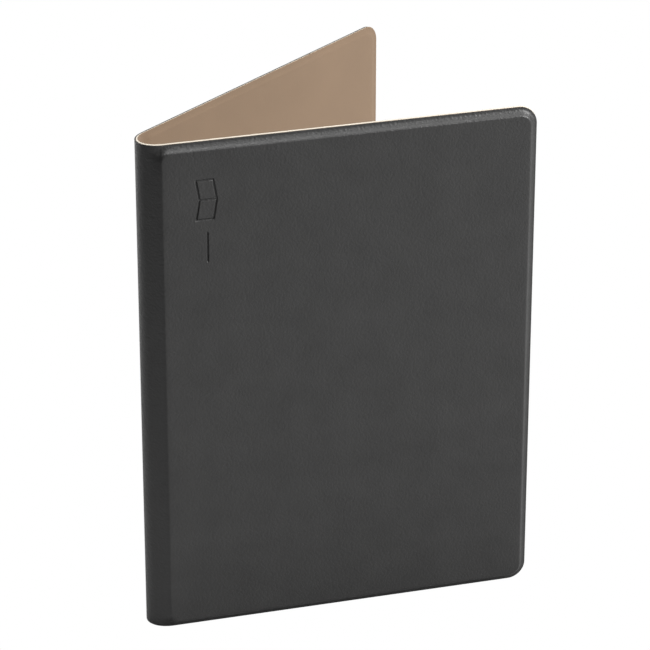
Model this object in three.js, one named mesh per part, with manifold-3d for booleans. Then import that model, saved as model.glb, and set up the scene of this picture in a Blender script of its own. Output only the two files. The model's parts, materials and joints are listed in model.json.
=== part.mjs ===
// An e-reader standing in its open book-style folio. Millimetres, +Z up, spine at -X.
// The holding cover's outer face looks along -Y and the reader hangs on its inner face.
import * as THREE from "three";
import { mergeVertices } from "three/addons/utils/BufferGeometryUtils.js";
import Module from "manifold-3d";

const wasm = await Module();
wasm.setup();

// Driving dimensions of the folio
const COVER_H = 155;
const COVER_W = 110; // spine fold to free edge
const COVER_CORNER = 5;
const SKIN = 0.5;
const BOARD = 1.6;
const LINING = 0.6;
const RIM = 3; // skin and lining joined beyond the board
const GLUE = 0.05; // glue line between layers
const SPINE_R = 8; // bend's axis to each cover's outer face
const SPINE_INSET = 1.7; // bend's outside, in from the covers' outer faces
const SPINE_LINING = 0.7;
const OPEN_ANGLE = THREE.MathUtils.degToRad(37);
const FOLD_GAP = 0.3; // from the fold line to each cover's end
const STRIP_SETBACK = THREE.MathUtils.degToRad(8); // bare angle at each end of the bend

// Driving dimensions of the reader
const READER_W = 106;
const READER_H = 147;
const READER_T = 7.6;
const READER_CORNER = 7;
const READER_X = 1.6; // spine fold to the reader's near side
const READER_Z = 3.8;
const READER_LIFT = 0.3; // reader's back to the lining
const WALL = 1.4;
const FLOOR = 1.1;
const SHELL_DEPTH = 5.2;
const LIP = 0.85; // bezel over the screen's edge
const FIT = 0.05;
const WINDOW = { w: 91.4, h: 122.8, z: 17.4 };
const POCKET = { w: 94.8, h: 134, z: 8.5 };
const CHASSIS = { from: 3.6, to: 4.6 };

// Magnets and their steel
const MAGNET_R = 4;
const MAGNET_T = 0.8;
const HOLD_X = 11; // from each side of the reader
const HOLD_Z = [56, 122]; // above the reader's foot

const coverThickness = SKIN + BOARD + LINING + 2 * GLUE;
const readerBack = coverThickness + READER_LIFT;
const bendOutside = SPINE_R - SPINE_INSET;
const ARC_STEPS = 24;
const CORNER_STEPS = 6;

const finish = (color, roughness, metalness = 0) =>
  new THREE.MeshStandardMaterial({ color, roughness, metalness });
const materials = {
  leather: finish(0x444444, 0.55),
  lining: finish(0x988372, 0.9),
  board: finish(0x8d8478, 0.9),
  magnet: finish(0xb9bcc0, 0.3, 1),
  steel: finish(0x9da1a6, 0.4, 1),
  casing: finish(0x2b2c2e, 0.6),
  chassis: finish(0x77797c, 0.5, 0.8),
  screen: finish(0xc9c8c0, 0.8),
  film: finish(0xd6d8d6, 0.25),
  guide: finish(0xe6eaec, 0.15),
  circuit: finish(0x1f4a35, 0.5),
  chip: finish(0x1b1b1d, 0.5),
  battery: finish(0xa8abad, 0.45, 0.3),
  flex: finish(0xb07a2c, 0.5),
};

// Solids

function toSolid(geometry) {
  const bare = geometry.clone();
  bare.deleteAttribute("normal");
  bare.deleteAttribute("uv");
  const merged = mergeVertices(bare, 1e-4);
  return new wasm.Manifold(
    new wasm.Mesh({
      numProp: 3,
      vertProperties: merged.attributes.position.array,
      triVerts: new Uint32Array(merged.index.array),
    }),
  );
}

function toGeometry(solid) {
  const mesh = solid.getMesh();
  const geometry = new THREE.BufferGeometry();
  geometry.setAttribute("position", new THREE.BufferAttribute(mesh.vertProperties, 3));
  geometry.setIndex(new THREE.BufferAttribute(mesh.triVerts, 1));
  geometry.computeVertexNormals();
  return geometry;
}

const cut = (body, ...tools) =>
  toGeometry(tools.reduce((rest, tool) => rest.subtract(toSolid(tool)), toSolid(body)));

const join = (body, ...others) =>
  toGeometry(others.reduce((whole, other) => whole.add(toSolid(other)), toSolid(body)));

// A rectangle in x and z, with each side's own pair of corner radii
function rounded(x0, x1, z0, z1, left, right) {
  const shape = new THREE.Shape();
  const quarter = Math.PI / 2;
  shape.moveTo(x0 + left, z0);
  shape.lineTo(x1 - right, z0);
  if (right) shape.absarc(x1 - right, z0 + right, right, -quarter, 0, false);
  shape.lineTo(x1, z1 - right);
  if (right) shape.absarc(x1 - right, z1 - right, right, 0, quarter, false);
  shape.lineTo(x0 + left, z1);
  if (left) shape.absarc(x0 + left, z1 - left, left, quarter, 2 * quarter, false);
  shape.lineTo(x0, z0 + left);
  if (left) shape.absarc(x0 + left, z0 + left, left, 2 * quarter, 3 * quarter, false);
  return shape;
}

// An outline in x and z, thickened from y0 to y1
function slab(shape, y0, y1) {
  const [low, high] = y0 < y1 ? [y0, y1] : [y1, y0];
  const options = { depth: high - low, bevelEnabled: false, curveSegments: CORNER_STEPS };
  return new THREE.ExtrudeGeometry(shape, options).rotateX(Math.PI / 2).translate(0, high, 0);
}

const block = (x0, x1, y0, y1, z0, z1) => slab(rounded(x0, x1, z0, z1, 0, 0), y0, y1);

// A round bar along y
const disc = (x, z, radius, y0, y1, sides = 20) =>
  new THREE.CylinderGeometry(radius, radius, Math.abs(y1 - y0), sides).translate(
    x,
    (y0 + y1) / 2,
    z,
  );

function addPart(group, name, geometry, material) {
  const mesh = new THREE.Mesh(geometry, material);
  mesh.name = name;
  group.add(mesh);
  return mesh;
}

// One stiff cover: skin tray, board and lining. side is +1 where its inside faces +y, -1 for -y.
function buildCover(group, name, side, magnets) {
  const outline = (inset) =>
    rounded(
      FOLD_GAP + inset,
      COVER_W - inset,
      inset,
      COVER_H - inset,
      0,
      COVER_CORNER - inset,
    );
  const boardFrom = SKIN + GLUE;
  const boardTo = boardFrom + BOARD;
  const liningFrom = boardTo + GLUE;
  const tray = cut(
    slab(outline(0), 0, side * boardTo),
    slab(outline(RIM), side * SKIN, side * (boardTo + 1)),
  );
  addPart(group, `${name}_skin`, tray, materials.leather);

  const windows = magnets.map(({ x, z, radius }) =>
    disc(x, z, radius + GLUE, side * (boardTo - MAGNET_T - GLUE), side * (boardTo + 1)),
  );
  const board = cut(slab(outline(RIM + GLUE), side * boardFrom, side * boardTo), ...windows);
  addPart(group, `${name}_board`, board, materials.board);

  const lining = slab(outline(0), side * liningFrom, side * (liningFrom + LINING));
  addPart(group, `${name}_lining`, lining, materials.lining);

  for (const magnet of magnets) {
    const body = disc(
      magnet.x,
      magnet.z,
      magnet.radius,
      side * (boardTo - MAGNET_T),
      side * boardTo,
    );
    addPart(group, magnet.name, body, materials.magnet);
  }
}

// A strip bent round the spine, between two radii about the bend's own axis
function bentStrip(outer, inner) {
  const start = -Math.PI / 2 - STRIP_SETBACK;
  const end = -Math.PI / 2 - (Math.PI - OPEN_ANGLE) + STRIP_SETBACK;
  const shape = new THREE.Shape();
  shape.absarc(0, SPINE_R, outer, start, end, true);
  shape.absarc(0, SPINE_R, inner, end, start, false);
  const options = { depth: COVER_H, bevelEnabled: false, curveSegments: ARC_STEPS };
  return new THREE.ExtrudeGeometry(shape, options);
}

function buildSpine(group) {
  const skin = bentStrip(bendOutside, bendOutside - SKIN);
  const liningOuter = bendOutside - SKIN - GLUE;
  const lining = bentStrip(liningOuter, liningOuter - SPINE_LINING);
  addPart(group, "spine_skin", skin, materials.leather);
  addPart(group, "spine_lining", lining, materials.lining);
}

// The reader, in its own frame: back at y = 0, screen looking along +y, foot at z = 0

const CENTRE = READER_W / 2;
const SCREWS = [
  [4.2, 6.5],
  [READER_W - 4.2, 6.5],
  [4.2, READER_H - 6.5],
  [READER_W - 4.2, READER_H - 6.5],
];
const USB = { x: CENTRE, w: 8.9, h: 3.1, y: 2.8, depth: 7.4, wall: 0.3 };
const BUTTON = { x: 84, w: 10.6, t: 1.8, y: 2.9, proud: 0.4, travel: 0.35 };
const BOARD_AREA = { x0: 10, x1: 96, z0: 2.2, z1: 37, from: 2.5, to: 3.3 };
const BATTERY = { x0: 24, x1: 82, z0: 43, z1: 113, from: 1.2, to: 3.4 };

const centred = (width, z0, height) =>
  rounded(CENTRE - width / 2, CENTRE + width / 2, z0, z0 + height, 0, 0);

function buildCasing(group) {
  const outer = (inset) => {
    const corner = READER_CORNER - inset;
    return rounded(inset, READER_W - inset, inset, READER_H - inset, corner, corner);
  };
  const hollow = slab(outer(WALL), FLOOR, SHELL_DEPTH + 1);
  const bosses = SCREWS.map(([x, z]) => disc(x, z, 1.9, FLOOR - 0.3, CHASSIS.from - FIT));
  const screwHoles = SCREWS.map(([x, z]) => disc(x, z, 0.8, FLOOR, CHASSIS.from + 1, 12));
  const mouth = rounded(-4.7, 4.7, -1.75, 1.75, 1.7, 1.7);
  const port = slab(mouth, -WALL - 1, WALL + 1)
    .rotateX(Math.PI / 2)
    .translate(USB.x, USB.y, 0);
  const buttonSlot = block(
    BUTTON.x - BUTTON.w / 2 - 0.2,
    BUTTON.x + BUTTON.w / 2 + 0.2,
    BUTTON.y - BUTTON.t / 2 - 0.2,
    BUTTON.y + BUTTON.t / 2 + 0.2,
    -1,
    WALL + 1,
  );
  const tray = cut(slab(outer(0), 0, SHELL_DEPTH), hollow);
  const shell = cut(join(tray, ...bosses), ...screwHoles, port, buttonSlot);
  addPart(group, "reader_rear_shell", shell, materials.casing);

  const pocket = slab(centred(POCKET.w, POCKET.z, POCKET.h), 0, READER_T - LIP);
  const opening = slab(centred(WINDOW.w, WINDOW.z, WINDOW.h), 0, READER_T + 1);
  const bezel = cut(slab(outer(0), SHELL_DEPTH + FIT, READER_T), pocket, opening);
  addPart(group, "reader_front_bezel", bezel, materials.casing);

  const usbNotch = block(USB.x - 6, USB.x + 6, 0, READER_T, 0, 10.5);
  const buttonNotch = block(BUTTON.x - 8, BUTTON.x + 8, 0, READER_T, 0, 6);
  const flexSlot = block(CENTRE - 21, CENTRE + 21, 0, READER_T, 11.2, 14.2);
  const lightening = block(CENTRE - 30, CENTRE + 30, 0, READER_T, 118, 132);
  const frameHoles = SCREWS.map(([x, z]) => disc(x, z, 0.9, 0, READER_T, 12));
  const chassis = cut(
    slab(outer(WALL + 0.15), CHASSIS.from, CHASSIS.to),
    usbNotch,
    buttonNotch,
    flexSlot,
    lightening,
    ...frameHoles,
  );
  addPart(group, "chassis_plate", chassis, materials.chassis);

  SCREWS.forEach(([x, z], i) => {
    const headFrom = CHASSIS.to + FIT;
    const shank = disc(x, z, 0.65, FLOOR + 0.4, headFrom + 0.1, 12);
    const head = disc(x, z, 1.3, headFrom, headFrom + 0.45, 16);
    addPart(group, `chassis_screw_${i + 1}`, join(shank, head), materials.steel);
  });
}

function buildScreen(group) {
  const panelFrom = CHASSIS.to + FIT;
  const panelTo = panelFrom + 0.9;
  const guideTo = panelTo + FIT + 0.55;
  const filmTo = READER_T - LIP - FIT;
  const stripZ = POCKET.z + 0.3;
  const guideZ = stripZ + 2.6;
  const top = POCKET.z + POCKET.h - 0.3;
  const width = POCKET.w - 0.8;
  const panel = slab(centred(width, 12.4, top - 12.4), panelFrom, panelTo);
  addPart(group, "e_paper_panel", panel, materials.screen);
  const guide = slab(centred(width, guideZ, top - guideZ), panelTo + FIT, guideTo);
  addPart(group, "light_guide", guide, materials.guide);
  const film = slab(centred(width, stripZ, top - stripZ), guideTo + FIT, filmTo);
  addPart(group, "touch_film", film, materials.film);
  const strip = slab(centred(80, stripZ, 2.3), panelTo + FIT, guideTo);
  addPart(group, "front_light_strip", strip, materials.flex);

  // The panel's flat cable drops through the chassis slot and folds down to the main board.
  const cable = join(
    block(CENTRE - 17, CENTRE + 17, CHASSIS.to + 0.3, CHASSIS.to + 0.5, 11.9, 12.2),
    block(CENTRE - 17, CENTRE + 17, 3.4, CHASSIS.to + 0.5, 11.7, 12.0),
    block(CENTRE - 17, CENTRE + 17, 3.4, 3.55, 12.0, 22),
  );
  addPart(group, "panel_flat_cable", cable, materials.flex);
}

function buildElectronics(group) {
  const { x0, x1, z0, z1, from, to } = BOARD_AREA;
  const clearUsb = block(USB.x - 5, USB.x + 5, 0, READER_T, 0, USB.depth + 1.2);
  const clearButton = block(BUTTON.x - 7.5, BUTTON.x + 20, 0, READER_T, 0, 7);
  const clearPost = block(0, 14, 0, READER_T, 0, 9.5);
  const board = cut(block(x0, x1, from, to, z0, z1), clearUsb, clearButton, clearPost);
  addPart(group, "main_board", board, materials.circuit);

  const under = from - FIT;
  const chip = (name, x, z, w, h, t, material) =>
    addPart(group, name, block(x, x + w, under - t, under, z, z + h), material);
  chip("processor_shield", 22, 17, 18, 16, 1.15, materials.steel);
  chip("memory_chip", 46, 19, 11.5, 13, 0.9, materials.chip);
  chip("power_chip", 63, 20, 7, 7, 0.8, materials.chip);
  chip("wireless_module", 76, 20, 12, 12, 1.1, materials.steel);
  chip("magnet_sensor", 88, 12, 2.9, 1.6, 1.0, materials.chip);
  chip("battery_plug", 70, 31.5, 6, 4.2, 1.1, materials.film);

  const cell = block(BATTERY.x0, BATTERY.x1, BATTERY.from, BATTERY.to, BATTERY.z0, BATTERY.z1);
  addPart(group, "battery", cell, materials.battery);

  const antenna = block(30, 76, 1.2, 1.45, READER_H - 12, READER_H - 3);
  addPart(group, "antenna_film", antenna, materials.flex);

  for (const [side, x] of [
    ["left", HOLD_X],
    ["right", READER_W - HOLD_X],
  ]) {
    const strip = block(x - 6, x + 6, FLOOR + FIT, FLOOR + FIT + 0.6, 44, 134);
    addPart(group, `steel_strip_${side}`, strip, materials.steel);
  }
}

function buildPort(group) {
  const socket = (inset) =>
    rounded(
      -USB.w / 2 + inset,
      USB.w / 2 - inset,
      -USB.h / 2 + inset,
      USB.h / 2 - inset,
      USB.h / 2 - inset - 0.02,
      USB.h / 2 - inset - 0.02,
    );
  const along = (shape, low, high) =>
    slab(shape, low, high).rotateX(Math.PI / 2).translate(USB.x, USB.y, 0);
  const mouth = 0.25;
  const back = mouth + USB.depth;
  const shell = cut(
    along(socket(0), mouth, back),
    along(socket(USB.wall), mouth - 1, back - USB.wall),
  );
  addPart(group, "usb_socket_shell", shell, materials.steel);
  const tongue = block(
    USB.x - 3.3,
    USB.x + 3.3,
    USB.y - 0.35,
    USB.y + 0.35,
    mouth + 1,
    back - USB.wall - FIT,
  );
  addPart(group, "usb_socket_tongue", tongue, materials.chip);
}

function buildButton(group) {
  const half = BUTTON.w / 2;
  const [y0, y1] = [BUTTON.y - BUTTON.t / 2, BUTTON.y + BUTTON.t / 2];
  const flange = WALL + 0.1;
  const cap = join(
    block(BUTTON.x - half, BUTTON.x + half, y0, y1, -BUTTON.proud, flange),
    block(BUTTON.x - half - 1, BUTTON.x + half + 1, y0 - 0.3, y1 + 0.3, flange, flange + 0.6),
    block(BUTTON.x - 1, BUTTON.x + 1, y0 + 0.4, y1 - 0.4, flange, flange + 1.2),
  );
  addPart(group, "power_button", cap, materials.casing);
  const domeFoot = flange + 1.2 + BUTTON.travel + 0.1;
  const dome = block(BUTTON.x - 2.4, BUTTON.x + 2.4, y0, y1, domeFoot, domeFoot + 0.9);
  addPart(group, "power_switch", dome, materials.steel);
}

const folio = new THREE.Group();

const holdX = [READER_X + HOLD_X, READER_X + READER_W - HOLD_X];
const holdingMagnets = holdX.flatMap((x, i) =>
  HOLD_Z.map((z, j) => ({
    name: `holding_magnet_${2 * i + j + 1}`,
    x,
    z: READER_Z + z,
    radius: MAGNET_R,
  })),
);
buildCover(folio, "holding_cover", 1, holdingMagnets);
buildSpine(folio);

const screenCover = new THREE.Group();
screenCover.position.set(
  -SPINE_R * Math.sin(OPEN_ANGLE),
  SPINE_R + SPINE_R * Math.cos(OPEN_ANGLE),
  0,
);
screenCover.rotation.z = OPEN_ANGLE;
buildCover(screenCover, "screen_cover", -1, [
  { name: "closing_magnet_lower", x: holdX[1], z: READER_Z + HOLD_Z[0], radius: MAGNET_R },
  { name: "closing_magnet_upper", x: holdX[1], z: READER_Z + HOLD_Z[1], radius: MAGNET_R },
  { name: "wake_magnet", x: READER_X + 89.5, z: READER_Z + 12.8, radius: 2.5 },
]);
folio.add(screenCover);

const reader = new THREE.Group();
reader.position.set(READER_X, readerBack, READER_Z);
buildCasing(reader);
buildScreen(reader);
buildElectronics(reader);
buildPort(reader);
buildButton(reader);
folio.add(reader);

// The origin is the centre of the standing object's footprint.
const low = new THREE.Vector2(-bendOutside, 0);
const farEdge = new THREE.Vector2(COVER_W, 0).rotateAround(new THREE.Vector2(), OPEN_ANGLE);
const high = new THREE.Vector2(COVER_W, screenCover.position.y + farEdge.y);
folio.position.set(-(low.x + high.x) / 2, -(low.y + high.y) / 2, 0);

const object = new THREE.Group();
object.add(folio);
export default object;
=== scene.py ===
"""Builds the finished surfaces of an e-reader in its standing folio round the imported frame.

Run as a script in Blender 4.5. It is laid out as an add-on: every piece or group of like pieces
has its own operator, and its sizes and colours are properties of the scene.
"""

import json
import math
from contextlib import contextmanager

import bmesh
import bpy
from bpy.props import FloatProperty, FloatVectorProperty, IntProperty, PointerProperty
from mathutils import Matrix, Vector


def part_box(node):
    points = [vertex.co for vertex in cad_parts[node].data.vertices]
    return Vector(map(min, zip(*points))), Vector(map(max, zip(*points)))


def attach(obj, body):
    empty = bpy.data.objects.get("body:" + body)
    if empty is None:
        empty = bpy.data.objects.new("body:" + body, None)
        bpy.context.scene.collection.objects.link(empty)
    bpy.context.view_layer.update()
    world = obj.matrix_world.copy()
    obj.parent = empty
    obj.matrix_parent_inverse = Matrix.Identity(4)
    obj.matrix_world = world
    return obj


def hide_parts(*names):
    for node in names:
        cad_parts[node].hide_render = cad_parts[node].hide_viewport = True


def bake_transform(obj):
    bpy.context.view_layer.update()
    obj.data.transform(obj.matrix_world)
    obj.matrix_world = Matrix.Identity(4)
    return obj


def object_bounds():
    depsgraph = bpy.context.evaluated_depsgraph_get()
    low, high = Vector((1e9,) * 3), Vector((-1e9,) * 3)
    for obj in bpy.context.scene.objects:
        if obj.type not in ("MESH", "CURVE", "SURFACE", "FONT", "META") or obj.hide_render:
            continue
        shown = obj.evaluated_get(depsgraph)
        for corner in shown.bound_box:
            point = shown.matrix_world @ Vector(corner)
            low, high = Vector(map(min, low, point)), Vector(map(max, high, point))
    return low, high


bl_info = {
    "name": "E-reader in a folio",
    "version": (1, 0, 0),
    "blender": (4, 5, 0),
    "location": "3D View > Sidebar > E-reader",
    "description": "Builds the leatherette folio, its lining, the reader and the studio",
    "category": "Object",
}

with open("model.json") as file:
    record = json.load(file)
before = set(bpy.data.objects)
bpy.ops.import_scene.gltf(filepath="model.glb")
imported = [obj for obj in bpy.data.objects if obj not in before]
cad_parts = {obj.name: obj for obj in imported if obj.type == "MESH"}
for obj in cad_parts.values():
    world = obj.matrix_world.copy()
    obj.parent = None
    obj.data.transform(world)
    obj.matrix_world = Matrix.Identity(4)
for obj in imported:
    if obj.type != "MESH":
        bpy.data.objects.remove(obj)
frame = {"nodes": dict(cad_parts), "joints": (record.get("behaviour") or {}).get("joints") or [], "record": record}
CAD_BOX = [list(corner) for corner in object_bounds()]

MM = 0.001
TINY = 1e-6


def joint_place(name):
    """Where a joint's axis meets the floor."""
    joint = next(j for j in frame["joints"] if j["name"] == name)
    x, y, _ = joint["pos_m"]
    return Vector((x, y, 0))


# Driving dimensions, worked out from the frame
NEAR_FOLD = joint_place("spine_fold")
FAR_FOLD = joint_place("cover_fold")
SKIN_LOW, SKIN_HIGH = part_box("holding_cover_skin")
COVER_HEIGHT = SKIN_HIGH.z - SKIN_LOW.z
COVER_WIDTH = SKIN_HIGH.x - NEAR_FOLD.x
COVER_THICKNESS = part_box("holding_cover_lining")[1].y - SKIN_LOW.y
BEND_RADIUS = NEAR_FOLD.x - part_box("spine_skin")[0].x
OPEN_ANGLE = 2 * math.atan2(NEAR_FOLD.x - FAR_FOLD.x, FAR_FOLD.y - NEAR_FOLD.y)
FACE_REACH = (FAR_FOLD.y - NEAR_FOLD.y) / (1 + math.cos(OPEN_ANGLE))
BEND_CENTRE = NEAR_FOLD + Vector((0, FACE_REACH, 0))
HALF_BEND = BEND_RADIUS * (math.pi - OPEN_ANGLE) / 2
FINE_REACH = 1.7 * MM  # how far past the fold the blank is sliced most finely
BUTTON_FLANGE = Vector((1, 0.3, 0)) * MM  # hidden flange round the button, on each side


# Sizes and colours that a user would change


def length(name, description, default):
    return FloatProperty(name=name, description=description, default=default, unit="LENGTH")


def angle(name, description, degrees):
    return FloatProperty(
        name=name, description=description, default=math.radians(degrees), subtype="ANGLE"
    )


def colour(name, description, default):
    return FloatVectorProperty(
        name=name, description=description, default=default, subtype="COLOR", size=3
    )


class FolioSettings(bpy.types.PropertyGroup):
    """Sizes of the folio's skin and lining."""

    corner: length("Corner", "Radius of the covers' free corners", 5.5 * MM)
    press_width: length("Pressed edge", "Width of the sloped edge beyond the board", 2.25 * MM)
    board_edge: length("Board edge", "From the fold line out to where the board stops", 1.2 * MM)
    board_corner: length("Board corner", "Radius of the board's corners by the fold", 2.5 * MM)
    stretch_facing: angle("Stretch facing", "Way that the stretched skin faces", 40.4)
    meets_bend: angle("Meets the bend", "Turn at which the stretched skin meets the bend", 49.4)
    fullness: length("Fullness", "How far the middle of the bend swells out", 0.85 * MM)
    skin: length("Skin", "Thickness of the leatherette", 0.4 * MM)
    skin_setback: length("Skin setback", "Skin's cut edge to the lining's", 0.16 * MM)
    lining: length("Lining", "Thickness of the lining with its backing", 0.45 * MM)
    lining_drop: length("Lining drop", "How far the lining is pressed in at its edge", 0.17 * MM)
    fold_reach: length("Fold reach", "How far each fold spreads either side of its line", 2.6 * MM)
    mark_width: length("Mark stroke", "Width of the pressed mark's strokes", 0.8 * MM)
    mark_depth: length("Mark depth", "Depth of the pressed mark", 0.36 * MM)
    mark_cuts: IntProperty(name="Mark fineness", description="Cuts per mark cell", default=44)


class ReaderSettings(bpy.types.PropertyGroup):
    """Sizes of the reader's casing."""

    corner: length("Corner", "Radius of the body's corners", 7 * MM)
    back_round: length("Back rounding", "Rounding of the back's edges", 2.2 * MM)
    front_round: length("Front rounding", "Rounding of the bezel's outer edge", 0.9 * MM)
    window_round: length("Window chamfer", "Chamfer round the screen window", 0.45 * MM)
    wall: length("Wall", "Thickness of the rear shell's sides", 1.4 * MM)


class ColourSettings(bpy.types.PropertyGroup):
    """Colours of the visible finishes."""

    leather: colour("Leatherette", "Charcoal leatherette", (0.023, 0.0228, 0.0225))
    lining: colour("Lining", "Taupe microfibre", (0.173, 0.1165, 0.0735))
    core: colour("Cut edge", "Cut edge of the lining", (0.46, 0.415, 0.35))
    casing: colour("Casing", "Fine-textured plastic", (0.02, 0.0205, 0.022))
    paper: colour("Paper", "Light tone of the screen", (0.50, 0.50, 0.465))
    floor: colour("Floor", "Studio floor, as the object sees it", (0.4, 0.4, 0.4))


class StudioSettings(bpy.types.PropertyGroup):
    """Where the camera stands and how bright the lights are."""

    azimuth: angle("Azimuth", "Turn of the view round the object", -15.78)
    elevation: angle("Elevation", "Height of the view above the horizon", 25.57)
    distance: length("Distance", "Camera to what it looks at", 0.999)
    lens: FloatProperty(name="Lens", description="Focal length in mm", default=191.4)
    ambient: FloatProperty(name="Ambient", description="Even light on the object", default=0.03)
    key_power: FloatProperty(name="Key", description="Power of the key light in W", default=27)
    top_power: FloatProperty(name="Top", description="Power of the top light in W", default=17)
    rim_power: FloatProperty(name="Rim", description="Power of the rim light in W", default=17)
    aim_x: length("Aim across", "Aim, from the middle of the object's box", -5.71 * MM)
    aim_z: length("Aim height", "Aim, above the floor", 94.2 * MM)


def settings():
    scene = bpy.context.scene
    return scene.folio_sizes, scene.reader_sizes, scene.object_colours, scene.studio


# Modelling helpers


def deselect_all():
    bpy.ops.object.select_all(action="DESELECT")


def activate(piece):
    deselect_all()
    piece.select_set(True)
    bpy.context.view_layer.objects.active = piece


@contextmanager
def editing(piece, mode="FACE"):
    """Edit mode on one piece, with nothing selected at first."""
    activate(piece)
    bpy.ops.object.mode_set(mode="EDIT")
    bpy.ops.mesh.select_mode(type=mode)
    bpy.ops.mesh.select_all(action="DESELECT")
    yield
    bpy.ops.object.mode_set(mode="OBJECT")


def pick(piece, mode, test):
    """In edit mode, selects exactly the vertices, edges or faces that pass a test."""
    bpy.ops.mesh.select_mode(type=mode)
    bpy.ops.mesh.select_all(action="DESELECT")
    mesh = bmesh.from_edit_mesh(piece.data)
    elements = {"VERT": mesh.verts, "EDGE": mesh.edges, "FACE": mesh.faces}[mode]
    for element in elements:
        if test(element):
            element.select_set(True)
    mesh.select_flush_mode()
    bmesh.update_edit_mesh(piece.data)


def slice_at(point, normal, clear=False):
    """Cuts everything in edit mode by a plane, and drops what is behind it where asked."""
    bpy.ops.mesh.select_all(action="SELECT")
    bpy.ops.mesh.bisect(plane_co=point, plane_no=normal, clear_inner=clear)


def apply_modifier(piece, kind, **values):
    modifier = piece.modifiers.new(kind.title(), kind)
    for name, value in values.items():
        setattr(modifier, name, value)
    activate(piece)
    bpy.ops.object.modifier_apply(modifier=modifier.name)


def add_block(name, low, high):
    """A block between two corners, with its object at the origin."""
    deselect_all()
    bpy.ops.mesh.primitive_cube_add(size=1, location=(Vector(low) + Vector(high)) / 2)
    block = bpy.context.object
    block.name = block.data.name = name
    block.scale = Vector(high) - Vector(low)
    bpy.ops.object.transform_apply(location=True, rotation=True, scale=True)
    return block


def runs_along(edge, axis):
    """True if an edge is parallel to an axis."""
    step = edge.verts[1].co - edge.verts[0].co
    return all(abs(step[k]) < TINY for k in range(3) if k != axis)


def lies_at(edge, axis, place):
    """True if both ends of an edge are at one height on an axis."""
    return all(abs(v.co[axis] - place) < 1e-5 for v in edge.verts)


def add_slab(name, low, high, corner, segments=10):
    """A block whose four corners are rounded as seen along y."""
    slab = add_block(name, low, high)
    with editing(slab, "EDGE"):
        pick(slab, "EDGE", lambda e: runs_along(e, 1))
        bpy.ops.mesh.bevel(offset=corner, segments=segments, affect="EDGES")
    return slab


def carve(piece, *cutters):
    """Cuts other pieces out of this one and removes them."""
    for cutter in cutters:
        apply_modifier(piece, "BOOLEAN", operation="DIFFERENCE", object=cutter, solver="EXACT")
        bpy.data.objects.remove(cutter, do_unlink=True)


def smooth(piece, angle=30):
    activate(piece)
    bpy.ops.object.shade_smooth_by_angle(angle=math.radians(angle))


def ease(value):
    """From 0 to 1 with no corner at either end."""
    t = min(max(value, 0), 1)
    return t * t * (3 - 2 * t)


# Materials


class Finish:
    """A material with one Principled shader, and short calls for the nodes that feed it."""

    def __init__(self, name, **sockets):
        self.material = bpy.data.materials.new(name)
        self.material.use_nodes = True
        self.tree = self.material.node_tree
        self.shader = self.tree.nodes["Principled BSDF"]
        for socket, value in sockets.items():
            self.shader.inputs[socket.replace("_", " ")].default_value = value

    def add(self, kind, inputs=None, **values):
        made = self.tree.nodes.new("ShaderNode" + kind)
        for name, value in values.items():
            setattr(made, name, value)
        for socket, value in (inputs or {}).items():
            if isinstance(value, bpy.types.NodeSocket):
                self.tree.links.new(value, made.inputs[socket])
            else:
                made.inputs[socket].default_value = value
        return made

    def feed(self, socket, output):
        self.tree.links.new(output, self.shader.inputs[socket])

    def object_place(self):
        return self.add("TexCoord").outputs["Object"]

    def flat_place(self):
        """Where a point lay on the flat cut of the folio, so that the grain bends with it."""
        return self.add("Attribute", attribute_name="flat_place").outputs["Vector"]

    def noise(self, place, scale, detail=2.0, roughness=0.5):
        inputs = {"Vector": place, "Scale": scale, "Detail": detail, "Roughness": roughness}
        return self.add("TexNoise", inputs).outputs["Fac"]

    def ramp(self, factor, stops):
        made = self.add("ValToRGB", {"Fac": factor})
        elements = made.color_ramp.elements
        while len(elements) < len(stops):
            elements.new(0.5)
        for element, (position, tone) in zip(elements, stops):
            element.position = position
            element.color = (*tone, 1)
        return made.outputs["Color"]

    def remap(self, value, low, high):
        inputs = {"Value": value, "To Min": low, "To Max": high}
        return self.add("MapRange", inputs).outputs["Result"]

    def maths(self, operation, a, b):
        made = self.add("Math", operation=operation)
        for socket, value in zip(made.inputs, (a, b)):
            if isinstance(value, bpy.types.NodeSocket):
                self.tree.links.new(value, socket)
            else:
                socket.default_value = value
        return made.outputs["Value"]

    def bump(self, height, distance, strength=1.0):
        inputs = {"Height": height, "Distance": distance, "Strength": strength}
        self.feed("Normal", self.add("Bump", inputs).outputs["Normal"])


def tint(base, factor):
    return tuple(min(channel * factor, 1) for channel in base)


def leather_finish(name, place_of):
    """Fine-grained leatherette: small pebbles with creases between, and a soft mottle."""
    colours = settings()[2]
    finish = Finish(name, Specular_IOR_Level=0.45)
    place = place_of(finish)
    mottle = finish.noise(place, 90, 4, 0.6)
    base = colours.leather
    stops = [(0.3, tint(base, 0.86)), (0.7, tint(base, 1.14))]
    finish.feed("Base Color", finish.ramp(mottle, stops))
    warp = finish.add("TexNoise", {"Vector": place, "Scale": 700.0, "Detail": 2.0})
    offset = finish.add("VectorMath", {0: warp.outputs["Color"]}, operation="SCALE")
    offset.inputs["Scale"].default_value = 0.0011
    bent = finish.add("VectorMath", {0: place, 1: offset.outputs[0]}, operation="ADD")
    pebbles = finish.add("TexVoronoi", {"Vector": bent.outputs[0], "Scale": 1500.0})
    pebbles.feature = "SMOOTH_F1"
    fine = finish.noise(place, 5200, 2)
    height = finish.maths("ADD", pebbles.outputs["Distance"], finish.maths("MULTIPLY", fine, 0.35))
    finish.feed("Roughness", finish.remap(pebbles.outputs["Distance"], 0.42, 0.58))
    finish.bump(height, -0.09 * MM, 1)
    return finish.material


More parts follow.
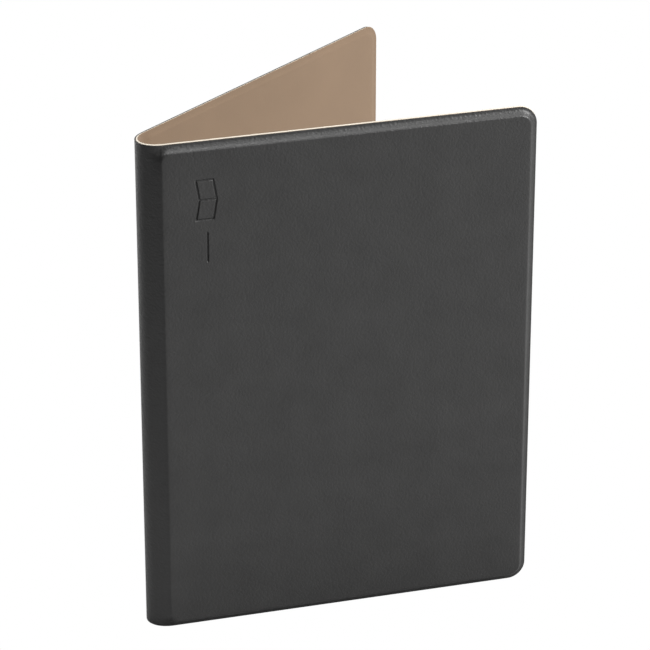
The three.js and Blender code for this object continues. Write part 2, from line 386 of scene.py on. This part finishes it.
def lining_finish(name, place_of):
    """Short-napped microfibre, lighter and darker where the nap has been brushed."""
    colours = settings()[2]
    finish = Finish(name, Roughness=0.95, Specular_IOR_Level=0.2)
    finish.shader.inputs["Sheen Weight"].default_value = 0.25
    finish.shader.inputs["Sheen Roughness"].default_value = 0.5
    place = place_of(finish)
    nap = finish.noise(place, 34, 5, 0.6)
    base = colours.lining
    stops = [(0.25, tint(base, 0.93)), (0.5, tuple(base)), (0.78, tint(base, 1.08))]
    finish.feed("Base Color", finish.ramp(nap, stops))
    fibres = finish.noise(place, 2600, 3, 0.7)
    finish.bump(fibres, 0.07 * MM, 0.6)
    return finish.material


def core_finish():
    """The lining's pale cut edge."""
    base = settings()[2].core
    finish = Finish("lining_cut_edge", Roughness=0.8)
    fibres = finish.noise(finish.flat_place(), 1800, 3)
    finish.feed("Base Color", finish.ramp(fibres, [(0.3, tint(base, 0.93)), (0.7, tuple(base))]))
    finish.bump(fibres, 0.03 * MM, 0.4)
    return finish.material


def casing_finish():
    """Moulded plastic with a fine spark-eroded texture."""
    base = settings()[2].casing
    finish = Finish("casing_plastic", Specular_IOR_Level=0.5)
    place = finish.object_place()
    cloud = finish.noise(place, 60, 3)
    finish.feed("Base Color", finish.ramp(cloud, [(0.3, tint(base, 0.9)), (0.7, tint(base, 1.1))]))
    grain = finish.noise(place, 4200, 2)
    finish.feed("Roughness", finish.remap(grain, 0.46, 0.6))
    finish.bump(grain, 0.02 * MM, 0.5)
    return finish.material


def paper_finish():
    """A resting e-paper screen: pale tone with the fine speckle of its ink capsules."""
    base = settings()[2].paper
    finish = Finish("e_paper_screen", Roughness=0.38, Specular_IOR_Level=0.35)
    place = finish.object_place()
    speckle = finish.noise(place, 6500, 2)
    finish.feed("Base Color", finish.ramp(speckle, [(0.3, tint(base, 0.94)), (0.7, tuple(base))]))
    return finish.material


def slot_finish(slot):
    """A procedural finish for an inner piece, from the record's own colour for its slot."""
    entry = next(m for m in frame["record"]["materials"] if m["slot"] == slot)
    metal = entry["class"] in ("brushed_steel", "aluminium")
    finish = Finish(slot + "_finish", Metallic=1.0 if metal else 0.0)
    place = finish.object_place()
    base = entry["base_color"][:3]
    cloud = finish.noise(place, 160, 4, 0.6)
    finish.feed("Base Color", finish.ramp(cloud, [(0.3, tint(base, 0.88)), (0.7, tint(base, 1.1))]))
    stretched = finish.add("Mapping", {"Vector": place, "Scale": (40, 40, 1)}).outputs["Vector"]
    grain = finish.noise(stretched if metal else place, 90 if metal else 2400, 3)
    low, high = (0.26, 0.42) if metal else (0.45, 0.65)
    finish.feed("Roughness", finish.remap(grain, low, high))
    finish.bump(grain, 0.01 * MM, 0.4)
    return finish.material


# The folio: flat blanks that are pressed, bent round the spine and thickened


def place_on_folio(along, height, depth, side):
    """A point of the flat blank on the standing folio. along is 0 at the fold, positive on the
    cover and negative round the bend; depth is inwards from the outer face."""
    if along >= 0:
        x, y = along, depth - FACE_REACH
    else:
        turn = -along / BEND_RADIUS
        reach = FACE_REACH - depth
        x, y = -reach * math.sin(turn), -reach * math.cos(turn)
    if side == "screen":
        cos, sin = math.cos(OPEN_ANGLE), math.sin(OPEN_ANGLE)
        x, y = x * cos + y * sin, x * sin - y * cos
    return BEND_CENTRE + Vector((x, y, height))


def edge_distance(along, height):
    """How far a point of the blank is from the cover's three free edges."""
    corner = settings()[0].corner
    across = COVER_WIDTH - along
    up = min(height, COVER_HEIGHT - height)
    if across < corner and up < corner:
        return corner - math.hypot(corner - across, corner - up)
    return min(across, up)


# The pressed mark on the holding cover: an open book over a bar, up the cover
MARK_PLACE = (11.5 * MM, 131.5 * MM)
MARK_REACH = (4.2 * MM, 14.4 * MM)
MARK_CELLS = 4
PAGE_WIDTH = 6 * MM
HALF_PAGE = 3 * MM
PAGE_SLANT = 1 * MM
BOOK_ABOVE = 6.2 * MM
BAR_BELOW = (12.8 * MM, 4 * MM)
BAR_ACROSS = 0.2 * MM


def mark_strokes():
    """Pairs of stroke ends on the blank: the book's fold, the bar, and three sides a page."""
    crease_top = (HALF_PAGE, BOOK_ABOVE)
    crease_foot = (PAGE_SLANT - HALF_PAGE, BOOK_ABOVE)
    strokes = [(crease_top, crease_foot), tuple((BAR_ACROSS, -below) for below in BAR_BELOW)]
    for turn in (1, -1):
        edge = BOOK_ABOVE + turn * PAGE_WIDTH
        page_top = (HALF_PAGE - PAGE_SLANT, edge)
        page_foot = (-HALF_PAGE, edge)
        strokes += [(crease_top, page_top), (page_top, page_foot), (page_foot, crease_foot)]
    x0, z0 = MARK_PLACE
    return [[(x0 + x, z0 + z) for x, z in ends] for ends in strokes]


def stroke_distance(point, start, end):
    dx, dz = end[0] - start[0], end[1] - start[1]
    share = ((point[0] - start[0]) * dx + (point[1] - start[1]) * dz) / (dx * dx + dz * dz)
    share = min(max(share, 0), 1)
    return math.hypot(point[0] - start[0] - share * dx, point[1] - start[1] - share * dz)


def inset_rings(widths):
    """Insets the selected face again and again, which gives rings along its border."""
    for width in widths:
        bpy.ops.mesh.inset(thickness=width, use_boundary=True, use_even_offset=True)


def ring_widths():
    """Fine rings at the cut edge, even ones over the slope, and wider ones on the board."""
    return [0.1 * MM, 0.15 * MM] + [0.2 * MM] * 13 + [0.4 * MM, 0.6 * MM, 0.8 * MM]


def column_places():
    """Where the blank is sliced across: finely by the fold and round the bend."""
    round_bend = [-FINE_REACH - (HALF_BEND - FINE_REACH) * i / 20 for i in range(20)]
    beyond_fold = [-0.1 * MM * i for i in range(2, 17)]
    by_fold = [0.4 * MM * i for i in range(9)] + [4 * MM, 5 * MM, 6.5 * MM]
    over_cover = [COVER_WIDTH * i / 12 for i in range(1, 12)]
    return round_bend + beyond_fold + by_fold + over_cover


def cut_blank(name, setback=0, marked=False):
    """Half of the folio laid flat, from the middle of the spine to the cover's free edge. It is
    sliced where it will be pressed and bent. x is along the folio and y is up it."""
    sizes = settings()[0]
    spare = 2 * sizes.press_width + HALF_BEND
    left = -HALF_BEND - spare
    deselect_all()
    right = COVER_WIDTH - setback
    middle = ((right + left) / 2, COVER_HEIGHT / 2, 0)
    bpy.ops.mesh.primitive_plane_add(size=1, location=middle)
    blank = bpy.context.object
    blank.name = blank.data.name = name
    blank.scale = (right - left, COVER_HEIGHT - 2 * setback, 1)
    bpy.ops.object.transform_apply(location=True, rotation=True, scale=True)
    with editing(blank, "VERT"):
        pick(blank, "VERT", lambda v: v.co.x > right - TINY)
        bpy.ops.mesh.bevel(offset=sizes.corner - setback, segments=14, affect="VERTICES")
        bpy.ops.mesh.select_mode(type="FACE")
        bpy.ops.mesh.select_all(action="SELECT")
        inset_rings(ring_widths())
        slice_at((-HALF_BEND, 0, 0), (1, 0, 0), clear=True)
        for x in column_places():
            slice_at((x, 0, 0), (1, 0, 0))
        for row in range(1, 16):
            slice_at((0, COVER_HEIGHT * row / 16, 0), (0, 1, 0))
        if marked:
            slice_mark(blank)
    return blank


def slice_mark(blank):
    """Divides the blank finely where the mark is pressed in."""
    (x0, y0), (dx, dy) = MARK_PLACE, MARK_REACH
    slice_at((x0 - dx, 0, 0), (1, 0, 0))
    slice_at((x0 + dx, 0, 0), (1, 0, 0))
    for i in range(MARK_CELLS + 1):
        slice_at((0, y0 - dy + 2 * dy * i / MARK_CELLS, 0), (0, 1, 0))

    def in_mark(face):
        centre = face.calc_center_median()
        return abs(centre.x - x0) < dx and abs(centre.y - y0) < dy

    pick(blank, "FACE", in_mark)
    bpy.ops.mesh.subdivide(number_cuts=settings()[0].mark_cuts)


def bend_blank(blank, side, depth_of, inwards):
    """Moves the flat blank's points onto the standing folio, each at its own depth, and keeps
    where each lay. Faces look out of the folio, or in where inwards is true."""
    mesh = blank.data
    flat = mesh.attributes.new("flat_place", "FLOAT_VECTOR", "POINT")
    turned = -1 if side == "screen" else 1
    for index, vertex in enumerate(mesh.vertices):
        along, height = vertex.co.x, vertex.co.y
        depth = depth_of(along, height)
        flat.data[index].vector = (turned * (along + HALF_BEND), depth, height)
        vertex.co = place_on_folio(along, height, depth, side)
    if (side == "screen") != inwards:
        mesh.flip_normals()
    mesh.update()


def thicken(blank, thickness, rim_material=0):
    """Gives a bent blank its thickness behind the face, and finishes the kept flat places."""
    count = len(blank.data.vertices)
    apply_modifier(
        blank,
        "SOLIDIFY",
        thickness=thickness,
        offset=-1,
        use_even_offset=True,
        material_offset_rim=rim_material,
    )
    flat = blank.data.attributes["flat_place"].data
    for index in range(count, len(blank.data.vertices)):
        flat[index].vector = flat[index].vector + Vector((0, thickness, 0))


def soft_least(a, b, softness):
    """The lesser of two values, rounded off where they cross."""
    gap = a - b
    return (a + b - math.hypot(gap, softness)) / 2


def beyond_board(along, height):
    """How far a point is outside the board, whose corners by the fold are rounded."""
    sizes = settings()[0]
    corner = sizes.board_corner
    straight = sizes.press_width - edge_distance(along, height)
    over = min(corner - sizes.board_edge - along, corner)
    past = sizes.press_width + corner - min(height, COVER_HEIGHT - height)
    if over <= 0 or past <= 0:
        return straight
    return max(straight, math.hypot(over, past) - corner)


def press_share(along, height):
    """0 on the board, 1 at the cut edge. The slope is steepest just beyond the board."""
    softness, steepness = 0.08, 2.6
    beyond = beyond_board(along, height) / settings()[0].press_width
    beyond = (beyond + math.hypot(beyond, softness)) / 2
    return 1 - (1 - min(beyond, 1)) ** steepness


def bend_reach(turn):
    """How far the bend stands from its axis. It is fullest in the middle of the spine."""
    fullness = settings()[0].fullness
    return BEND_RADIUS + fullness * math.sin(math.pi / 2 * BEND_RADIUS * turn / HALF_BEND) ** 2


def stretched_reach(turn):
    """The skin at half height: straight from the board's edge to the bend, then round it."""
    sizes = settings()[0]
    if turn >= sizes.meets_bend:
        return bend_reach(turn)
    facing = sizes.stretch_facing
    straight = sizes.board_edge * math.sin(facing) + FACE_REACH * math.cos(facing)
    face = FACE_REACH / math.cos(turn)
    return soft_least(face, straight / math.cos(turn - facing), 0.22 * MM)


def edge_roll(along, height, width):
    """0 over most of a layer, rising to 1 in the last of its width, where its edge rolls over."""
    return max(1 - edge_distance(along, height) / width, 0) ** 2


def skin_depth(along, height):
    """The skin lies flat on the board and slopes to its cut edge. Round the bend its top and
    bottom edges are flush with the pressed edges."""
    turn = max(-along / BEND_RADIUS, 0)
    share = press_share(along, height)
    free = FACE_REACH - stretched_reach(turn) if turn else 0
    pressed = FACE_REACH - bend_reach(turn)
    rolled = 0.12 * MM * edge_roll(along, height, 0.3 * MM)
    return max(free, 0) * (1 - share) + pressed * share + rolled


def marked_depth(along, height):
    """The skin with the mark pressed in."""
    sizes = settings()[0]
    depth = skin_depth(along, height)
    (x0, y0), (dx, dy) = MARK_PLACE, MARK_REACH
    if abs(along - x0) < dx and abs(height - y0) < dy:
        near = min(stroke_distance((along, height), *ends) for ends in mark_strokes())
        depth += sizes.mark_depth * ease(1.25 - 1.25 * near / (sizes.mark_width / 2))
    return depth


def lining_depth(along, height):
    """The lining lies at the cover's inner face and runs on round the bend."""
    sizes = settings()[0]
    starts, runs, glue = -0.5 * MM, 3.5 * MM, 0.05 * MM
    on_cover = ease((along - starts) / runs)
    turn = max(-along / BEND_RADIUS, 0)
    on_bend = FACE_REACH - bend_reach(turn) + sizes.skin + sizes.lining + glue
    cover = COVER_THICKNESS - sizes.lining_drop * press_share(along, height)
    rolled = 0.06 * MM * edge_roll(along, height, 0.25 * MM)
    return on_bend + (cover - on_bend) * on_cover - rolled


def fold_ends(side):
    """The two points between which a half of the folio turns from one body to the next."""
    reach = settings()[0].fold_reach
    cover = NEAR_FOLD + Vector((reach, 0, COVER_HEIGHT / 2))
    spine = NEAR_FOLD + Vector((-reach, 0, COVER_HEIGHT / 2))
    if side == "holding":
        return "holding_cover", "spine", cover, spine
    cos, sin = math.cos(OPEN_ANGLE), math.sin(OPEN_ANGLE)

    def mirrored(point):
        x, y, z = point - BEND_CENTRE
        return BEND_CENTRE + Vector((x * cos + y * sin, x * sin - y * cos, z))

    return "spine", "screen_cover", mirrored(spine), mirrored(cover)


def finish_layer(blank, side, layer):
    """Hides the CAD solids of a half layer of the folio and bakes its placing into its points."""
    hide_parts(f"{side}_cover_{layer}", f"spine_{layer}")
    first, second, start, end = fold_ends(side)
    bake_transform(blank)


class FOLIO_OT_skin(bpy.types.Operator):
    """Make the leatherette skin of both covers and round the spine"""

    bl_idname = "folio.skin"
    bl_label = "Folio skin"

    def execute(self, context):
        sizes = settings()[0]
        finish = leather_finish("charcoal_leatherette", Finish.flat_place)
        for side, marked in (("holding", True), ("screen", False)):
            blank = cut_blank(f"{side}_side_skin", sizes.skin_setback, marked)
            bend_blank(blank, side, marked_depth if marked else skin_depth, inwards=False)
            thicken(blank, sizes.skin)
            blank.data.materials.append(finish)
            smooth(blank, 40)
            finish_layer(blank, side, "skin")
        return {"FINISHED"}


class FOLIO_OT_lining(bpy.types.Operator):
    """Make the microfibre lining of both covers and round the spine"""

    bl_idname = "folio.lining"
    bl_label = "Folio lining"

    def execute(self, context):
        sizes = settings()[0]
        nap = lining_finish("taupe_microfibre", Finish.flat_place)
        core = core_finish()
        for side in ("holding", "screen"):
            blank = cut_blank(f"{side}_side_lining")
            blank.data.materials.append(nap)
            blank.data.materials.append(core)
            bend_blank(blank, side, lining_depth, inwards=True)
            thicken(blank, sizes.lining, rim_material=1)
            smooth(blank, 40)
            finish_layer(blank, side, "lining")
        return {"FINISHED"}


# The reader


class READER_OT_rear_shell(bpy.types.Operator):
    """Make the reader's rear shell, with its rounded back, socket mouth and button slot"""

    bl_idname = "reader.rear_shell"
    bl_label = "Rear shell"

    def execute(self, context):
        sizes = settings()[1]
        low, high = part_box("reader_rear_shell")
        shell = add_slab("rear_shell_moulding", low, high, sizes.corner, 14)
        with editing(shell, "EDGE"):
            pick(shell, "EDGE", lambda e: lies_at(e, 1, low.y))
            bpy.ops.mesh.bevel(offset=sizes.back_round, segments=6, affect="EDGES")
            pick(shell, "FACE", lambda f: f.normal.y > 0.9)
            bpy.ops.mesh.inset(thickness=sizes.wall)
            bpy.ops.mesh.extrude_region_move(
                TRANSFORM_OT_translate={"value": (0, low.y - high.y + sizes.wall, 0)}
            )
        carve(shell, *self.openings(low))
        smooth(shell, 35)
        shell.data.materials.append(casing_finish())
        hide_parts("reader_rear_shell")
        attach(shell, "reader")
        return {"FINISHED"}

    def openings(self, low):
        """Cutters for the socket's mouth and the button's slot, through the lower wall."""
        slack = Vector((0.25, 0.2, 3)) * MM
        socket_low, socket_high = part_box("usb_socket_shell")
        socket_high.z = socket_low.z
        mouth = add_block("mouth_cutter", socket_low - slack, socket_high + slack)
        with editing(mouth, "EDGE"):
            pick(mouth, "EDGE", lambda e: runs_along(e, 2))
            tall = socket_high.y - socket_low.y + 2 * slack.y
            bpy.ops.mesh.bevel(offset=tall * 0.48, segments=8, affect="EDGES")
        slack = Vector((0.2, 0.2, 3)) * MM - BUTTON_FLANGE
        button_low, button_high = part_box("power_button")
        button_low.z = button_high.z = low.z
        slot = add_block("slot_cutter", button_low - slack, button_high + slack)
        with editing(slot, "EDGE"):
            pick(slot, "EDGE", lambda e: runs_along(e, 2))
            bpy.ops.mesh.bevel(offset=0.9 * MM, segments=6, affect="EDGES")
        return mouth, slot


class READER_OT_bezel(bpy.types.Operator):
    """Make the reader's front bezel round the recessed screen"""

    bl_idname = "reader.bezel"
    bl_label = "Front bezel"

    def execute(self, context):
        sizes = settings()[1]
        low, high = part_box("reader_front_bezel")
        bezel = add_slab("front_bezel_moulding", low, high, sizes.corner, 14)
        with editing(bezel, "EDGE"):
            pick(bezel, "EDGE", lambda e: lies_at(e, 1, high.y))
            bpy.ops.mesh.bevel(offset=sizes.front_round, segments=5, affect="EDGES")
        film_low, film_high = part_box("touch_film")
        side_lip, foot_lip, head_lip = 1.3 * MM, 8.6 * MM, 1.9 * MM
        pocket_slack = Vector((0.4, 0, 0.3)) * MM
        pocket_low, pocket_high = film_low - pocket_slack, film_high + pocket_slack
        pocket_low.y = low.y - 1 * MM
        pocket_high.y = film_high.y + 0.05 * MM
        window_low = Vector((film_low.x + side_lip, low.y, film_low.z + foot_lip))
        window_high = Vector((film_high.x - side_lip, high.y + MM, film_high.z - head_lip))
        window = add_slab("window_cutter", window_low, window_high, 1.0 * MM, 5)
        pocket = add_slab("pocket_cutter", pocket_low, pocket_high, 0.5 * MM, 2)
        carve(bezel, window, pocket)

        def round_window(edge):
            inside = all(
                window_low.x - MM < v.co.x < window_high.x + MM
                and window_low.z - MM < v.co.z < window_high.z + MM
                for v in edge.verts
            )
            return inside and lies_at(edge, 1, high.y)

        with editing(bezel, "EDGE"):
            pick(bezel, "EDGE", round_window)
            bpy.ops.mesh.bevel(offset=sizes.window_round, segments=4, affect="EDGES")
        smooth(bezel, 35)
        bezel.data.materials.append(casing_finish())
        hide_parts("reader_front_bezel")
        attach(bezel, "reader")
        return {"FINISHED"}


class READER_OT_button(bpy.types.Operator):
    """Make the power button's cap with softened edges"""

    bl_idname = "reader.button"
    bl_label = "Power button"

    def execute(self, context):
        low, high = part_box("power_button")
        high.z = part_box("reader_rear_shell")[0].z + 1.5 * MM
        cap = add_block("power_button_cap", low + BUTTON_FLANGE, high - BUTTON_FLANGE)
        with editing(cap, "EDGE"):
            pick(cap, "EDGE", lambda e: runs_along(e, 2))
            bpy.ops.mesh.bevel(offset=0.8 * MM, segments=6, affect="EDGES")
            pick(cap, "EDGE", lambda e: lies_at(e, 2, low.z))
            bpy.ops.mesh.bevel(offset=0.25 * MM, segments=3, affect="EDGES")
            pick(cap, "FACE", lambda f: f.normal.z > 0.9)
            bpy.ops.mesh.extrude_region_move(TRANSFORM_OT_translate={"value": (0, 0, 0.6 * MM)})
            bpy.ops.transform.resize(value=(1.15, 1.25, 1))
        smooth(cap, 35)
        cap.data.materials.append(casing_finish())
        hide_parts("power_button")
        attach(cap, "power_button")
        return {"FINISHED"}


class READER_OT_inner_pieces(bpy.types.Operator):
    """Give every CAD node that stays a finish of its own"""

    bl_idname = "reader.inner_pieces"
    bl_label = "Inner pieces"

    def execute(self, context):
        finishes = {}
        for entry in frame["record"]["subparts"]:
            node = frame["nodes"][entry["node"]]
            if node.hide_render:
                continue
            slot = entry["material_slot"]
            if entry["node"] == "touch_film":
                finishes[slot] = paper_finish()
            if slot not in finishes:
                finishes[slot] = slot_finish(slot)
            node.data.materials.clear()
            node.data.materials.append(finishes[slot])
        return {"FINISHED"}


# The studio

LIGHT_DISTANCE = 1.2


def look_at(piece, target):
    """Turns a lamp or camera so that it faces a point."""
    direction = Vector(target) - piece.location
    piece.rotation_euler = direction.to_track_quat("-Z", "Y").to_euler()


def place_round(target, azimuth, elevation, distance):
    """A point at a bearing from a target. Azimuth 0 is in front, on the -y side."""
    flat = math.cos(elevation)
    back = Vector((math.sin(azimuth) * flat, -math.cos(azimuth) * flat, math.sin(elevation)))
    return Vector(target) + back * distance


def add_softbox(name, target, azimuth, elevation, size, power):
    """A rectangular light that faces a target, at a bearing in degrees."""
    data = bpy.data.lights.new(name, "AREA")
    data.shape = "RECTANGLE"
    data.size, data.size_y = size
    data.energy = power
    lamp = bpy.data.objects.new(name, data)
    bpy.context.scene.collection.objects.link(lamp)
    bearing = math.radians(azimuth), math.radians(elevation)
    lamp.location = place_round(target, *bearing, LIGHT_DISTANCE)
    look_at(lamp, target)


class STUDIO_OT_stage(bpy.types.Operator):
    """Set up the pale floor, the soft lights and the camera"""

    bl_idname = "studio.stage"
    bl_label = "Studio"

    def execute(self, context):
        studio = settings()[3]
        low, high = (Vector(corner) for corner in CAD_BOX)
        middle = (low + high) / 2
        self.add_floor()
        self.add_world()
        add_softbox("key_softbox", middle, 58, 31, (0.5, 0.5), studio.key_power)
        add_softbox("top_softbox", middle, 15, 98, (0.6, 0.6), studio.top_power)
        add_softbox("rim_softbox", middle, -145, 18, (0.4, 0.7), studio.rim_power)
        target = Vector((middle.x + studio.aim_x, NEAR_FOLD.y, studio.aim_z))
        data = bpy.data.cameras.new("view_camera")
        data.lens = studio.lens
        data.clip_start, data.clip_end = 0.05, 20
        camera = bpy.data.objects.new("view_camera", data)
        context.scene.collection.objects.link(camera)
        bearing = studio.azimuth, studio.elevation
        camera.location = place_round(target, *bearing, studio.distance)
        look_at(camera, target)
        context.scene.camera = camera
        context.scene.view_settings.view_transform = "Standard"
        return {"FINISHED"}

    def add_floor(self):
        deselect_all()
        bpy.ops.mesh.primitive_plane_add(size=8)
        floor = bpy.context.object
        floor.name = "studio_floor"
        finish = Finish("studio_floor", Roughness=0.9, Specular_IOR_Level=0.0)
        finish.shader.inputs["Base Color"].default_value = (*settings()[2].floor, 1)
        glow = finish.add("Emission", {"Color": (1, 1, 1, 1), "Strength": 1.0}).outputs[0]
        camera_ray = finish.add("LightPath").outputs["Is Camera Ray"]
        lit = finish.shader.outputs[0]
        seen = finish.add("MixShader", {0: camera_ray, 1: lit, 2: glow}).outputs[0]
        output = finish.tree.nodes["Material Output"]
        finish.tree.links.new(seen, output.inputs["Surface"])
        floor.data.materials.append(finish.material)

    def add_world(self):
        """White behind the object, and a dimmer even light on it."""
        world = bpy.data.worlds.new("studio_world")
        bpy.context.scene.world = world
        world.use_nodes = True
        tree = world.node_tree
        background = tree.nodes["Background"]
        background.inputs["Color"].default_value = (1, 1, 1, 1)
        ray = tree.nodes.new("ShaderNodeLightPath")
        strength = tree.nodes.new("ShaderNodeMapRange")
        strength.inputs["To Min"].default_value = settings()[3].ambient
        strength.inputs["To Max"].default_value = 1
        tree.links.new(ray.outputs["Is Camera Ray"], strength.inputs["Value"])
        tree.links.new(strength.outputs["Result"], background.inputs["Strength"])


class FOLIO_PT_panel(bpy.types.Panel):
    """Lists the operators that build the object"""

    bl_idname = "FOLIO_PT_panel"
    bl_label = "E-reader in a folio"
    bl_space_type = "VIEW_3D"
    bl_region_type = "UI"
    bl_category = "E-reader"

    def draw(self, context):
        for operator in OPERATORS:
            self.layout.operator(operator.bl_idname)


PROPERTY_GROUPS = {
    "folio_sizes": FolioSettings,
    "reader_sizes": ReaderSettings,
    "object_colours": ColourSettings,
    "studio": StudioSettings,
}
OPERATORS = (
    FOLIO_OT_skin,
    FOLIO_OT_lining,
    READER_OT_rear_shell,
    READER_OT_bezel,
    READER_OT_button,
    READER_OT_inner_pieces,
    STUDIO_OT_stage,
)


def register():
    for name, group in PROPERTY_GROUPS.items():
        bpy.utils.register_class(group)
        setattr(bpy.types.Scene, name, PointerProperty(type=group))
    for operator in OPERATORS:
        bpy.utils.register_class(operator)
    bpy.utils.register_class(FOLIO_PT_panel)


def unregister():
    bpy.utils.unregister_class(FOLIO_PT_panel)
    for operator in reversed(OPERATORS):
        bpy.utils.unregister_class(operator)
    for name, group in PROPERTY_GROUPS.items():
        delattr(bpy.types.Scene, name)
        bpy.utils.unregister_class(group)


def main():
    register()
    bpy.ops.folio.skin()
    bpy.ops.folio.lining()
    bpy.ops.reader.rear_shell()
    bpy.ops.reader.bezel()
    bpy.ops.reader.button()
    bpy.ops.reader.inner_pieces()
    bpy.ops.studio.stage()


if __name__ == "__main__":
    main()
